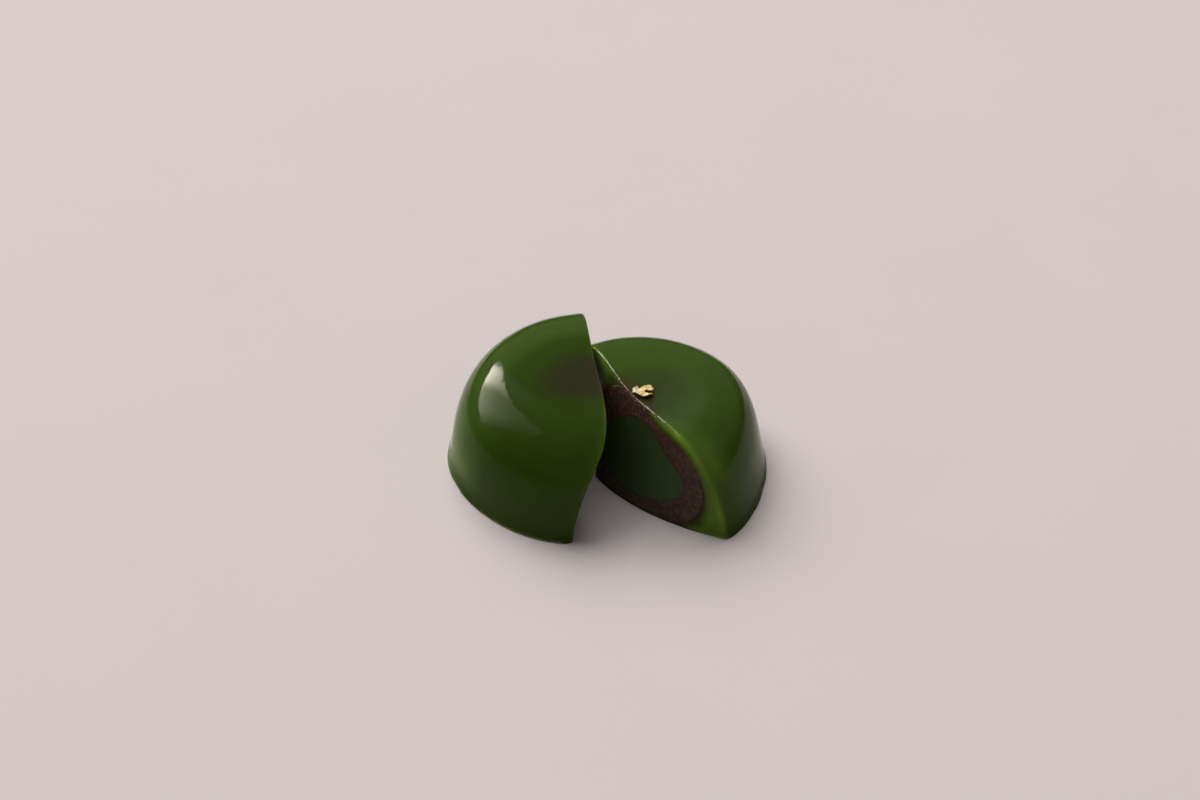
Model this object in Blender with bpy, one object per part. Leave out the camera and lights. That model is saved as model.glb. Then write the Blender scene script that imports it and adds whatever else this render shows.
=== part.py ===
"""A matcha water manju cut in two: a firm green jelly round bean paste and a matcha core, with a gold leaf.

The sweet was turned out of a round mould and cut down through its middle. The halves stand side by side,
opened like a book, their far ends nearly touching. Both have slumped: their cut faces bulge and lean out.

Each half is first laid out as the mould shaped it, on three axes in millimetres:
  along, the line of the cut, from the near end (negative) to the far end (positive);
  deep, from the cut face into the half;
  up, from the flat base.
The slump then moves every point, and the half is turned and set in its place.
"""

import math
from dataclasses import dataclass

import bmesh
import bpy
from mathutils import Vector

MM = 0.001
SHARP_ANGLE = math.radians(40.0)  # faces that meet more sharply than this keep a hard edge

# The mould
CROWN_HEIGHT = 24.1
WALL_HEIGHT = 2.0
CROWN_POWER = 3.88  # 2 is a round crown, more gives a flatter top and a fuller shoulder
FOOT_LIP = 0.3  # how far the wet foot spreads past the wall
FOOT_LIP_HEIGHT = 1.4
SLUMP_FADE = 1.5  # how quickly the slump dies away behind the cut face

# The filling, at the cut
FILLING_CENTRE = Vector((-5.4, 0.0, 11.4))
JELLY_SKIN = 0.45  # the least jelly left over the paste, at the top and under it
# Reach at the cut, every 30 degrees: from the far end over the top, then from the near end under the base
PASTE_AT_CUT = (17.5, 15.0, 13.3, 12.6, 11.0, 14.1, 15.3, 15.1, 14.6, 14.5, 15.5, 17.1)
CORE_AT_CUT = (11.0, 9.0, 8.1, 9.2, 9.3, 8.8, 11.6, 10.5, 8.6, 8.4, 10.0, 11.3)
PASTE_DEPTH = 15.5
CORE_DEPTH = 9.5
PASTE_BAND = 1.0  # the least paste left round the core
SEAM = 0.3  # clearance between one layer and the next
BLEND_POWER = 40  # how tightly a layer turns where the skin limits it

# The gold leaf, a crumpled flake of a small and a large lobe
LEAF_PLACE = (-4.1, 1.6)  # along and deep, on the right half
LEAF_TURN = 128.3  # degrees
LEAF_LENGTH = 3.6
LEAF_WIDTHS = (0.9, 1.7, 1.3, 2.6, 3.2, 3.0, 1.6)  # at equal steps from the small lobe's end
LEAF_THICKNESS = 0.22
LEAF_LIFT = 0.3
LEAF_RIPPLE = 0.3  # the most that the flake stands above that
LEAF_WAVES = (2.3, 2.9)  # of the ripple along and across, in radians for each millimetre
LEAF_ROWS = 7
LEAF_COLUMNS = 14

# How finely each surface is divided: round the half, and from the base's middle up to the crown
JELLY_STEPS = (28, 7, 20)
FILLING_STEPS = (18, 6, 15)
FACE_RINGS = 4


@dataclass
class Half:
    """One half: its size, its place, and how far it has slumped."""

    name: str
    side: int  # 1 where the half lies to the left of its cut line, -1 to the right
    middle: tuple  # of the cut line, before the sweet is centred
    turn: float  # direction of the cut line from near to far end, in degrees
    half_length: float
    depth: float
    plan_powers: tuple  # of the outline seen from above, at the near and the far side; 2 is an ellipse
    slide: float  # shift along the cut for each millimetre of height
    lean: float  # shift of the crown out past the cut, for each millimetre of its height
    lean_power: float  # how the shift grows with height; 1 is a straight lean
    foot: tuple  # bulge at the base: how far, where it peaks, near and far fall-off
    crown: tuple  # the same at the top


LEFT = Half(
    name="left",
    side=1,
    middle=(-9.32, -2.95),
    turn=91.0,
    half_length=27.3,
    depth=24.9,
    plan_powers=(1.74, 2.1),
    slide=-0.07,
    lean=0.205,
    lean_power=1.34,
    foot=(-0.3, -11.6, 1.5, 3.7),
    crown=(3.15, -20.2, 3.3, 3.2),
)
RIGHT = Half(
    name="right",
    side=-1,
    middle=(8.79, -10.65),
    turn=121.6,
    half_length=23.9,
    depth=23.85,
    plan_powers=(1.715, 1.967),
    slide=0.107,
    lean=0.119,
    lean_power=1.0,
    foot=(11.0, 6.3, 2.0, 3.7),
    crown=(3.2, -3.9, 1.5, 2.7),
)

# Colour, roughness and metallic value of each material
FINISHES = {
    "jelly": ((0.05, 0.085, 0.016), 0.12, 0.0),
    "bean_paste": ((0.07, 0.036, 0.03), 0.55, 0.0),
    "matcha_core": ((0.028, 0.06, 0.014), 0.5, 0.0),
    "gold_leaf": ((0.85, 0.6, 0.27), 0.3, 1.0),
}


def bump(along, reach, peak, near, far):
    """A swelling that is 1 at its peak and fades to 0 at both ends of the cut."""
    if along < peak:
        share = min((peak - along) / (reach + peak), 1.0)
        return 1.0 - share**near
    share = min((along - peak) / (reach - peak), 1.0)
    return (1.0 - share) ** far * (1.0 + far * share)


def bulge(half, along, up):
    """How far the cut face stands out from a flat cut."""
    share = min(max(up / CROWN_HEIGHT, 0.0), 1.0)
    swell = 0.0
    for weight, (amount, peak, near, far) in ((1.0 - share, half.foot), (share, half.crown)):
        swell += weight * amount * bump(along, half.half_length, peak, near, far)
    return swell


def settle(half, point):
    """Moves a point of the moulded half to where it lies once the half has slumped."""
    along, deep, up = point
    give = max(1.0 - deep / half.depth, 0.0) ** SLUMP_FADE
    lean = half.lean * CROWN_HEIGHT * max(up / CROWN_HEIGHT, 0.0) ** half.lean_power
    out = deep - give * bulge(half, along, up) - lean
    along += half.slide * up
    out *= half.side
    turn = math.radians(half.turn)
    return Vector(
        (
            half.middle[0] + along * math.cos(turn) - out * math.sin(turn),
            half.middle[1] + along * math.sin(turn) + out * math.cos(turn),
            up,
        )
    )


def plan_share(half, along, deep):
    """Where a point of the plan lies between the middle of the cut, 0, and the outline, 1."""
    power = half.plan_powers[0] if along < 0.0 else half.plan_powers[1]
    return (abs(along / half.half_length) ** power + abs(deep / half.depth) ** power) ** (1.0 / power)


def mould_profile(base_steps, crown_steps):
    """(share of the radius, height, lip) from the middle of the base out to the foot and up to the crown."""
    points = [(step / base_steps, 0.0, step / base_steps * FOOT_LIP) for step in range(base_steps)]
    for up in (0.0, FOOT_LIP_HEIGHT / 3, FOOT_LIP_HEIGHT, WALL_HEIGHT):
        fade = max(1.0 - up / FOOT_LIP_HEIGHT, 0.0)
        points.append((1.0, up, FOOT_LIP * fade**0.5))
    for step in range(1, crown_steps + 1):
        angle = math.pi / 2 * step / crown_steps
        across, rise = abs(math.cos(angle)), math.sin(angle)
        scale = (across**CROWN_POWER + rise**CROWN_POWER) ** (-1 / CROWN_POWER)
        points.append((across * scale, WALL_HEIGHT + (CROWN_HEIGHT - WALL_HEIGHT) * rise * scale, 0.0))
    points[-1] = (0.0, CROWN_HEIGHT, 0.0)
    return points


def mould_grid(half, steps):
    """The moulded half's outer surface as rows of points, each row a profile at one angle round the half."""
    around, base_steps, crown_steps = steps
    profile = mould_profile(base_steps, crown_steps)
    rows = []
    for step in range(around + 1):
        angle = math.pi * step / around
        along, deep = math.cos(angle), math.sin(angle)
        if step == around:
            along, deep = -1.0, 0.0
        plan = 1.0 / plan_share(half, along * half.half_length, deep * half.depth)
        row = []
        for share, up, lip in profile:
            row.append(
                Vector(
                    (
                        along * (plan * share * half.half_length + lip),
                        deep * (plan * share * half.depth + lip),
                        up,
                    )
                )
            )
        rows.append(row)
    return rows


def curve_through(values, share):
    """A value between the second and third of four, on a smooth curve through them all."""
    before, here, there, after = values
    slope = there - before
    bend = 2.0 * before - 5.0 * here + 4.0 * there - after
    twist = 3.0 * (here - there) + after - before
    return here + 0.5 * share * (slope + share * (bend + share * twist))


def filling_reach(direction, at_cut, depth):
    """Distance from the filling's centre to a layer's surface along a unit direction."""
    angle = math.degrees(math.atan2(direction[2], direction[0])) % 360.0
    count = len(at_cut)
    place = angle / 360.0 * count
    step = int(place)
    reach = curve_through([at_cut[(step + k) % count] for k in (-1, 0, 1, 2)], place - step)
    across = math.hypot(direction[0], direction[2]) / reach
    return 1.0 / math.hypot(across, direction[1] / depth)


def least(first, second):
    """The smaller of two distances, blended where they are alike."""
    return (first**-BLEND_POWER + second**-BLEND_POWER) ** (-1 / BLEND_POWER)


def paste_distance(target, clearance):
    """How far the paste reaches toward a point of the mould: its own form, kept inside a skin of jelly."""
    spoke = target - FILLING_CENTRE
    direction = spoke.normalized()
    skin = JELLY_SKIN + SEAM - clearance
    if target.z > 0.0:
        limit = spoke.length - skin
    else:
        limit = (FILLING_CENTRE.z - skin) / -direction.z
    return least(filling_reach(direction, PASTE_AT_CUT, PASTE_DEPTH) + clearance, limit)


def core_distance(target, clearance):
    """How far the core reaches toward a point of the mould, kept inside a band of paste."""
    direction = (target - FILLING_CENTRE).normalized()
    limit = paste_distance(target, 0.0) - PASTE_BAND
    return least(filling_reach(direction, CORE_AT_CUT, CORE_DEPTH), limit) + clearance


def layer_grid(outer, distance, clearance):
    """A surface of the filling, with each point on the line from the filling's centre to one of outer's."""
    rows = []
    for row in outer:
        points = []
        for target in row:
            direction = (target - FILLING_CENTRE).normalized()
            points.append(FILLING_CENTRE + direction * distance(target, clearance))
        rows.append(points)
    return rows


def add_surface(mesh, rows):
    """Adds a grid whose rows all start and end at the same two points. Returns its vertices, row by row."""
    first = mesh.verts.new(rows[0][0])
    last = mesh.verts.new(rows[0][-1])
    grid = [[first, *(mesh.verts.new(point) for point in row[1:-1]), last] for row in rows]
    for here, there in zip(grid, grid[1:]):
        for step in range(len(here) - 1):
            corners = [here[step], there[step], there[step + 1], here[step + 1]]
            mesh.faces.new(list(dict.fromkeys(corners)))
    return grid


def cut_outline(grid):
    """The closed edge of a half's surface at the cut: up one side and down the other."""
    return grid[0] + grid[-1][-2:0:-1]


def fill_between(mesh, outer, inner):
    """Fills the cut face between two outlines of equal length with evenly spaced rings."""
    rings = [outer]
    for step in range(1, FACE_RINGS):
        share = step / FACE_RINGS
        rings.append([mesh.verts.new(a.co.lerp(b.co, share)) for a, b in zip(outer, inner)])
    rings.append(inner)
    count = len(outer)
    for ring, following in zip(rings, rings[1:]):
        for step in range(count):
            after = (step + 1) % count
            mesh.faces.new([ring[step], ring[after], following[after], following[step]])


def finish(name, mesh, half, kind):
    """Slumps and places a half's mesh, and makes it an object."""
    for vertex in mesh.verts:
        vertex.co = settle(half, vertex.co) * MM
    return make_object(name, mesh, kind)


def make_object(name, mesh, kind):
    bmesh.ops.triangulate(mesh, faces=[face for face in mesh.faces if len(face.verts) > 3])
    bmesh.ops.recalc_face_normals(mesh, faces=mesh.faces)
    data = bpy.data.meshes.new(name)
    mesh.to_mesh(data)
    mesh.free()
    data.shade_smooth()
    data.set_sharp_from_angle(angle=SHARP_ANGLE)
    data.materials.append(finish_material(kind))
    created = bpy.data.objects.new(name, data)
    bpy.context.collection.objects.link(created)
    return created


def finish_material(kind):
    found = bpy.data.materials.get(kind)
    if found:
        return found
    colour, roughness, metallic = FINISHES[kind]
    material = bpy.data.materials.new(kind)
    material.use_nodes = True
    shader = material.node_tree.nodes["Principled BSDF"]
    shader.inputs["Base Color"].default_value = (*colour, 1.0)
    shader.inputs["Roughness"].default_value = roughness
    shader.inputs["Metallic"].default_value = metallic
    return material


def build_jelly(half):
    """The outer jelly: the moulded half with the filling's hollow open at the cut."""
    mesh = bmesh.new()
    rows = mould_grid(half, JELLY_STEPS)
    outside = add_surface(mesh, rows)
    hollow = add_surface(mesh, layer_grid(rows, paste_distance, SEAM))
    fill_between(mesh, cut_outline(outside), cut_outline(hollow))
    return finish(f"jelly_{half.name}", mesh, half, "jelly")


def build_paste(half):
    """The bean paste: a shell with the core's hollow open at the cut."""
    mesh = bmesh.new()
    rows = mould_grid(half, FILLING_STEPS)
    outside = add_surface(mesh, layer_grid(rows, paste_distance, 0.0))
    hollow = add_surface(mesh, layer_grid(rows, core_distance, SEAM))
    fill_between(mesh, cut_outline(outside), cut_outline(hollow))
    return finish(f"bean_paste_{half.name}", mesh, half, "bean_paste")


def build_core(half):
    """The matcha core, solid to its centre."""
    mesh = bmesh.new()
    rows = mould_grid(half, FILLING_STEPS)
    outside = add_surface(mesh, layer_grid(rows, core_distance, 0.0))
    outline = cut_outline(outside)
    inner = [mesh.verts.new(FILLING_CENTRE.lerp(vertex.co, 1 / (FACE_RINGS + 1))) for vertex in outline]
    fill_between(mesh, outline, inner)
    middle = mesh.verts.new(FILLING_CENTRE)
    for here, there in zip(inner, inner[1:] + inner[:1]):
        mesh.faces.new([here, there, middle])
    return finish(f"matcha_core_{half.name}", mesh, half, "matcha_core")


def crown_up(half, along, deep):
    """Height of the moulded crown over a point of the plan."""
    rise = max(1.0 - plan_share(half, along, deep) ** CROWN_POWER, 0.0) ** (1.0 / CROWN_POWER)
    return WALL_HEIGHT + (CROWN_HEIGHT - WALL_HEIGHT) * rise


def leaf_width(share):
    """The flake's width at a share of its length."""
    last = len(LEAF_WIDTHS) - 1
    step = min(int(share * last), last - 1)
    near = [LEAF_WIDTHS[min(max(step + k, 0), last)] for k in (-1, 0, 1, 2)]
    return curve_through(near, share * last - step)


def leaf_point(half, row, column, top):
    """A point of the flake's lower or upper face, laid over the crown."""
    share = column / LEAF_COLUMNS
    along = (share - 0.5) * LEAF_LENGTH
    aside = (row / LEAF_ROWS - 0.5) * leaf_width(share)
    turn = math.radians(LEAF_TURN)
    place_along = LEAF_PLACE[0] + along * math.cos(turn) - aside * math.sin(turn)
    place_deep = LEAF_PLACE[1] + along * math.sin(turn) + aside * math.cos(turn)
    wave = math.sin(LEAF_WAVES[0] * along + aside) * math.cos(LEAF_WAVES[1] * aside - along)
    lift = LEAF_LIFT + LEAF_RIPPLE * (1.0 + wave) + (LEAF_THICKNESS if top else 0.0)
    return Vector((place_along, place_deep, crown_up(half, place_along, place_deep) + lift))


def build_leaf(half):
    """The gold leaf: a thin wavy flake, both faces divided alike."""
    mesh = bmesh.new()
    sheets = []
    for top in (False, True):
        sheets.append(
            [
                [mesh.verts.new(leaf_point(half, row, column, top)) for column in range(LEAF_COLUMNS + 1)]
                for row in range(LEAF_ROWS + 1)
            ]
        )
    lower, upper = sheets
    for row in range(LEAF_ROWS):
        for column in range(LEAF_COLUMNS):
            for sheet in sheets:
                a, b = sheet[row][column], sheet[row][column + 1]
                c, d = sheet[row + 1][column + 1], sheet[row + 1][column]
                mesh.faces.new([a, b, c])
                mesh.faces.new([a, c, d])
    edge = [(0, column) for column in range(LEAF_COLUMNS)]
    edge += [(row, LEAF_COLUMNS) for row in range(LEAF_ROWS)]
    edge += [(LEAF_ROWS, column) for column in range(LEAF_COLUMNS, 0, -1)]
    edge += [(row, 0) for row in range(LEAF_ROWS, 0, -1)]
    for (r0, c0), (r1, c1) in zip(edge, edge[1:] + edge[:1]):
        mesh.faces.new([lower[r0][c0], lower[r1][c1], upper[r1][c1], upper[r0][c0]])
    return finish("gold_leaf", mesh, half, "gold_leaf")


def centre_over_origin(objects):
    """Moves the whole sweet so that the middle of its box's base is at the origin."""
    points = [vertex.co for part in objects for vertex in part.data.vertices]
    lows = [min(point[axis] for point in points) for axis in range(3)]
    highs = [max(point[axis] for point in points) for axis in range(3)]
    shift = Vector((-(lows[0] + highs[0]) / 2, -(lows[1] + highs[1]) / 2, -lows[2]))
    for part in objects:
        for vertex in part.data.vertices:
            vertex.co += shift


def main():
    for existing in list(bpy.data.objects):
        bpy.data.objects.remove(existing, do_unlink=True)
    objects = []
    for half in (LEFT, RIGHT):
        objects += [build_jelly(half), build_paste(half), build_core(half)]
    objects.append(build_leaf(RIGHT))
    centre_over_origin(objects)


main()
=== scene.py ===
"""Looks of a matcha water manju cut in two: wet green jelly, bean paste, matcha core and a flake of gold.

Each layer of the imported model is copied, rounded and given its fine relief and its finish. The copies stand
where the model's own layers are, in metres, +Z up.
"""

import math

import bmesh
import bpy
from mathutils import Matrix, Vector, noise
from mathutils.bvhtree import BVHTree
from mathutils.kdtree import KDTree


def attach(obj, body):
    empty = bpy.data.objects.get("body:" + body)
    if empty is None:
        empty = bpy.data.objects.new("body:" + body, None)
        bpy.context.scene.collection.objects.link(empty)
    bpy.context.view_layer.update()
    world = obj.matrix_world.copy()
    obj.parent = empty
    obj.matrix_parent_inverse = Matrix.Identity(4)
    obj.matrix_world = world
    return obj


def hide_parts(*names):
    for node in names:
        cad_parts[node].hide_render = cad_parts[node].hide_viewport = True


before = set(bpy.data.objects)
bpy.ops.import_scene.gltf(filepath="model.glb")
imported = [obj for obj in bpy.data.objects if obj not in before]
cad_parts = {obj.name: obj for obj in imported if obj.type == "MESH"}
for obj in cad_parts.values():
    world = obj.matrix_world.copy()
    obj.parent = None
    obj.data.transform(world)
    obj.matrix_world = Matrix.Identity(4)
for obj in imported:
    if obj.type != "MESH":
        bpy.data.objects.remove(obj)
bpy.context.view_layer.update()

bl_info = {
    "name": "Matcha water manju",
    "version": (1, 0, 0),
    "blender": (4, 5, 0),
    "location": "View3D > Sidebar > Manju",
    "description": "Makes the pieces, finishes and stage of a halved matcha water manju",
    "category": "Object",
}

MM = 0.001
HALVES = ("left", "right")

# A pair without a comment is the range, in millimetres, over which something sets in or dies away

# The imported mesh
SAME_POINT = 0.01 * MM
QUAD_ANGLE = math.radians(60.0)
SHARP = math.radians(38.0)  # faces that meet more sharply than this part the skin from the cut
UPRIGHT = 0.5  # how far, as a share, a cut face's normal may point up or down

# The jelly's shape
JELLY_LEVELS = 2
LOW_RIM_CREASE = 0.35  # the share of its crease that the low part of the knife's edge keeps
RIM_SLANT = 0.12  # how much lower the crisp rim and the painted rim highlight start for each millimetre back
CRISP_FROM = (13.0, 19.0)
OFF_CUT = 0.02  # less than this share of the painted cut is skin
SKIN_FACTOR = 0.5  # how strongly each round evens out the skin
SKIN_ROUNDS = 12
SKIN_WAVE = 9.0  # millimetres from one slow wave of the skin to the next
SAG_HEIGHT = 4.0  # millimetres up, where the foot stops spreading

# Light inside the jelly
CLEAR_DEPTH = 5.0  # millimetres of jelly that take most of the light
UNDER_SKIN = 0.35  # millimetres below the skin, where the light is measured
FACES_LIGHT = 0.25  # skin that faces the light more squarely than this has none coming from behind
OUT_OF_THE_WAY = 0.5 * MM  # how far past the skin the paste must lie, not to stop the light
LIGHT_RINGS = ((18.0, 6), (38.0, 9))  # degrees off the middle of the light, and the ways on that ring
LIGHT_SPREAD = 24  # rounds in which the light spreads over the mesh
GLOW_SPREAD = 6  # the same, for the glow of the crown
THROUGH = {"left": 0.7, "right": 1.0}  # how much of the light gets through each half
# Millimetres from the bean paste where the crown starts to glow and where it fully does, and the least glow
GLOW_FROM = {"left": (4.8, 7.0, 0.0), "right": (0.8, 3.0, 0.9)}
GLOW_HEIGHT = {"left": (11.0, 18.0), "right": (16.0, 20.5)}
# How strongly the paste darkens the jelly over it, and how many millimetres away it stops
SHADE = {"left": (0.88, 3.9), "right": (0.5, 3.8)}
SHADE_FULL = 0.6  # how many millimetres away it is still darkest
WALL_GLOW = 0.34  # light that comes through the left half's outer wall
WALL_FACING = (0.70, 1.0)  # how squarely a skin faces left, where the wall starts to glow and fully does
LIP_FACING = (-0.1, 0.5)  # the same, for where the lip round the foot turns from its painted shade to its painted light
SHOULDER_GLOW = 0.22  # light that spills from the right half's cut into the skin beside it
SHOULDER_RIM = (1.0, 10.0)
SHOULDER_HEIGHT = (11.5, 17.5)
SHOULDER_FORWARD = (13.0, 20.0)

# The right half's cut, and the light painted into it
FACE_FROM = (0.3, 1.0)  # shares of the painted cut
FACE_LEAST = 0.2  # the light in the cut right beside the paste
FACE_NEAR = (0.3, 3.0)
DIM_PATCH = (0.6, 16.5, 3.2)  # how much less of the painted light it has, and its middle and half width in millimetres forward
FAR_FACE = (0.15, 6.0)  # how much more painted light the far end has, and how far forward that reaches
TIP_FORWARD = (21.0, 25.0)
TIP_DIM = 0.62  # how much less painted light the high part of the near tip has
TIP_HIGH = (7.0, 15.0)
CORNER_GLOW = 0.09  # light in the low corner of the near tip
CORNER_NEAR = (1.0, 3.5)
CORNER_HEIGHT = (3.0, 12.0)

# The knife's edge
ON_EDGE = 0.999  # the share of the painted edge that counts as the knife's edge
RIM_STEPS = 8  # points along each edge of the mesh
RIM_APART = 0.4 * MM  # the edge counts only where it runs at least this far from another layer
# A whitish line painted along the knife's edge is a painted highlight, and whitish spots beside it are
# painted glints
GLINT_FROM = (19.5, 21.0)
GLINT_GAP = (0.6, -9.0, 3.0)  # how much weaker the painted rim highlight is in one place, and its middle and half width along Y
GLINT_WIDTH = (0.04, 0.13)
GLINT_GRAIN = (0.36, 0.54)  # values of a noise from 0 to 1, as every range named grain
RAGGED_REACH = 0.22  # millimetres by which the edge of the painted rim highlight wanders
RAGGED_GRAIN = (0.55, 0.66)
SPECK_REACH = (0.5, 1.6)
SPECK_GRAIN = (0.56, 0.64)
FILM = (1.1, 2.0)  # millimetres of jelly between the paste and the rim
STAIN = (1.2, 4.6)  # the same, where the paste shows through the skin
STAIN_TINT = 0.55  # how much the skin takes its colour there
SEAM_TINT = 0.85  # how much the jelly right beside the paste takes its colour
SEAM_REACH = 2.2  # millimetres from the paste

# The jelly's finish
ON_FACE = (0.9, 1.0)  # shares of the painted cut
SHINE_HEIGHT = (16.0, 20.0)
CLOUDS = 0.04  # how much the light in the jelly wanders
BRIGHT_FROM = (0.13, 1.15)  # light where the jelly starts to turn bright and where it fully has
BRIGHT_SOONER = (0.10, 0.38)  # how much less both are on the lit cut
LIP_HEIGHT = (0.15, 0.6)
JELLY_INDEX = 1.34  # index of refraction, nearly that of water
GLOW_COLOURS = (0.75, 1.0, 0.25)  # how far red, green and blue light spread inside the jelly

# The filling
FILLING_LEVELS = 3
PASTE_CREASE = 0.95
CORE_CREASE = 0.9
CRUMB_SIZE = 0.9  # millimetres
CRUMB_OCTAVES = 3
CORE_WAVE = 2.0  # millimetres from one wave of the cut core to the next
CORE_WAVE_HEIGHT = 0.05 * MM
FILLING_INDEX = 1.4  # index of refraction
SKIN_BITS_GRAIN = (0.45, 0.8)
RED_HEIGHT = (16.5, 19.5)
RED_RIM = (0.2, 2.6)
# where whitish spots of painted glint lie on the paste
FLECK_HEIGHT = (19.8, 21.4)
FLECK_RIM = (0.2, 2.2)
FLECK_GRAIN = (0.58, 0.64)
FAR_SHADE_END = (-21.0, -14.0)  # along Y, where the painted shade on the filling starts and where it is full
FAR_CORE_SHADE = (0.95, 0.68, 1.1)  # the share of each colour that is left in that painted shade
FAR_PASTE_SHADE = (0.70, 0.85, 0.80)
FAR_PASTE_SHADE_HEIGHT = (8.0, 16.0)
STROKE_DARK = 0.78  # the share of its colour that the core keeps in the knife's strokes
STROKE_GRAIN = (0.35, 0.7)
CORE_EDGE = (0.1, 0.9)

# The gold leaf, in millimetres from its middle
LEAF_LEVELS = 3
LEAF_SHIFT = 0.15 * MM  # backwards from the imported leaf's place
LEAF_SHARP = math.radians(25.0)
RIDGE_SIZE = 0.9
BUMP_SIZE = 0.3
BUMP_SHARE = 0.8  # the height of the bumps, as a share of the ridges'
RAGGED_SIZE = 0.55
RAGGED_FULL = 2.2  # where the outline is fully ragged
SMALL_LOBE = (0.9, 1.4)  # to the left
SMALL_LOBE_LIFT = 0.5  # as a share of the ridges' height
NECK = (-0.95, 0.4)  # its middle and its half width
NECK_WIDER = 0.7  # the share by which it is widened
FORK_START = (0.3, 0.8)
FORK_MIDDLE = -0.35
FORK_WIDTH = (0.2, 0.36)
FORK_DEPTH = 2.2 * MM
FORK_DARK = (0.01, 0.14)  # shares of the fork's depth over which its painted shade sets in
PALE_LOBE = (6.2, 6.9)  # along the model's X, where the painted sheen of the flat lobe gives way to deeper gold
WORN_GOLD = (1.0, 0.72, 0.42)  # the share of each colour that the creases keep
WORN_GRAIN = (0.42, 0.64)

# The camera
CAMERA_PLACE = (-0.00104, -0.31197, 0.26755)
CAMERA_DOWN = math.radians(39.067)
CAMERA_ROLL = math.radians(-1.978)
CAMERA_LENS = 59.0
SENSOR_WIDTH = 36.0
NEAR_LIMIT = 0.01

# The lights: degrees from +Y towards +X and above the floor, and how wide and high they look from the sweet
LIGHT_DISTANCE = 4.0
KEY_FROM, KEY_SPREAD = (-50.0, 38.0), (66.0, 56.0)
BACK_FROM, BACK_SPREAD = (24.0, 50.0), (38.0, 38.0)
WINDOW_FROM, WINDOW_SPREAD = (-32.0, 60.0), (56.0, 56.0)
KEY_COLOUR = (1.0, 0.90, 0.77)
ROOM_COLOUR = (1.0, 0.965, 0.95)
HUMP_PEAK = 1.6  # strength in the middle of the back light
# Fades of the key light: its strength before and after, and from where to where on its face that changes
KEY_TIP = (0.0, 1.0, 0.20, 0.27)
KEY_BRIGHT = (1.0, 0.33, 0.35, 0.48)
KEY_DIM = (1.0, 0.0, 0.65, 1.0)
KEY_RISE = (1.25, 0.25, 0.0, 0.9)
KEY_SLANT = 1.6  # how steeply its slanting edge rises across its face
KEY_SLANT_START = 0.065  # where across its face that edge begins
KEY_OUTSIDE = 0.08  # the light that is left above that edge
KEY_EDGE = (-0.01, 0.02)  # how softly the light ends there
KEY_RAGGED = 0.3  # how far that edge wanders
KEY_RAGGED_SCALE = 22.0
KEY_ROLL = math.radians(-8.0)

# The stage
FLOOR_SIZE = 6.0
FLOOR_MOTTLE = 0.97  # the share of its colour that the floor keeps in its darker spots
FLAG_RADIUS = 0.10
FLAG_HEIGHT = 0.022


def colour_setting(name, description, default):
    return bpy.props.FloatVectorProperty(
        name=name, description=description, default=default, subtype="COLOR", size=3, min=0.0, max=1.0
    )


def length_setting(name, description, default, most=1.0 * MM):
    return bpy.props.FloatProperty(
        name=name,
        description=description,
        default=default,
        subtype="DISTANCE",
        unit="LENGTH",
        min=0.0,
        max=most,
        precision=5,
    )


def power_setting(name, description, default):
    return bpy.props.FloatProperty(
        name=name, description=description, default=default, subtype="POWER", min=0.0
    )


class JellySettings(bpy.types.PropertyGroup):
    """The outer jelly."""

    deep: colour_setting(
        name="Deep colour",
        description="Colour of the jelly where it is thick",
        default=(0.035, 0.067, 0.005),
    )
    thin: colour_setting(
        name="Thin colour",
        description="Colour of the jelly where light comes through a thin edge",
        default=(0.330, 0.550, 0.060),
    )
    shadowed: colour_setting(
        name="Colour over the paste",
        description="Tint of the jelly where the bean paste shows through it",
        default=(0.036, 0.031, 0.013),
    )
    crown: colour_setting(
        name="Crown colour",
        description="Colour of the crown where light spreads inside it",
        default=(0.055, 0.101, 0.012),
    )
    # Painted highlight: the whitish colour painted along the knife's edge and in spots of painted glint
    # beside it
    rim_glint: colour_setting(
        name="Torn edge",
        description="Colour of the rim where the knife tore it",
        default=(0.60, 0.63, 0.42),
    )
    film: colour_setting(
        name="Film colour",
        description="Colour of the cut where the jelly over the bean paste is a mere film",
        default=(0.070, 0.027, 0.019),
    )
    # Painted light on the lip: light-coloured on the side that faces the light, partly the floor seen through
    # the thin jelly; the dark colour below is its painted shade
    lip: colour_setting(
        name="Lip colour",
        description="Colour of the thin wet lip round the foot",
        default=(0.62, 0.66, 0.46),
    )
    lip_dark: colour_setting(
        name="Dark lip colour",
        description="Colour of the lip on the side away from the light",
        default=(0.022, 0.026, 0.010),
    )
    rim: bpy.props.FloatProperty(
        name="Rim sharpness",
        description="How sharp the knife left the edge of the cut, from 0, round, to 1, sharp",
        subtype="FACTOR",
        min=0.0,
        max=1.0,
        default=0.82,
    )
    sag: length_setting(
        name="Sag",
        description="How far the foot of the left half spreads",
        default=0.4 * MM,
        most=2.0 * MM,
    )
    waves: length_setting(
        name="Waves",
        description="Height of the slow unevenness of the skin",
        default=0.03 * MM,
    )


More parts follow.
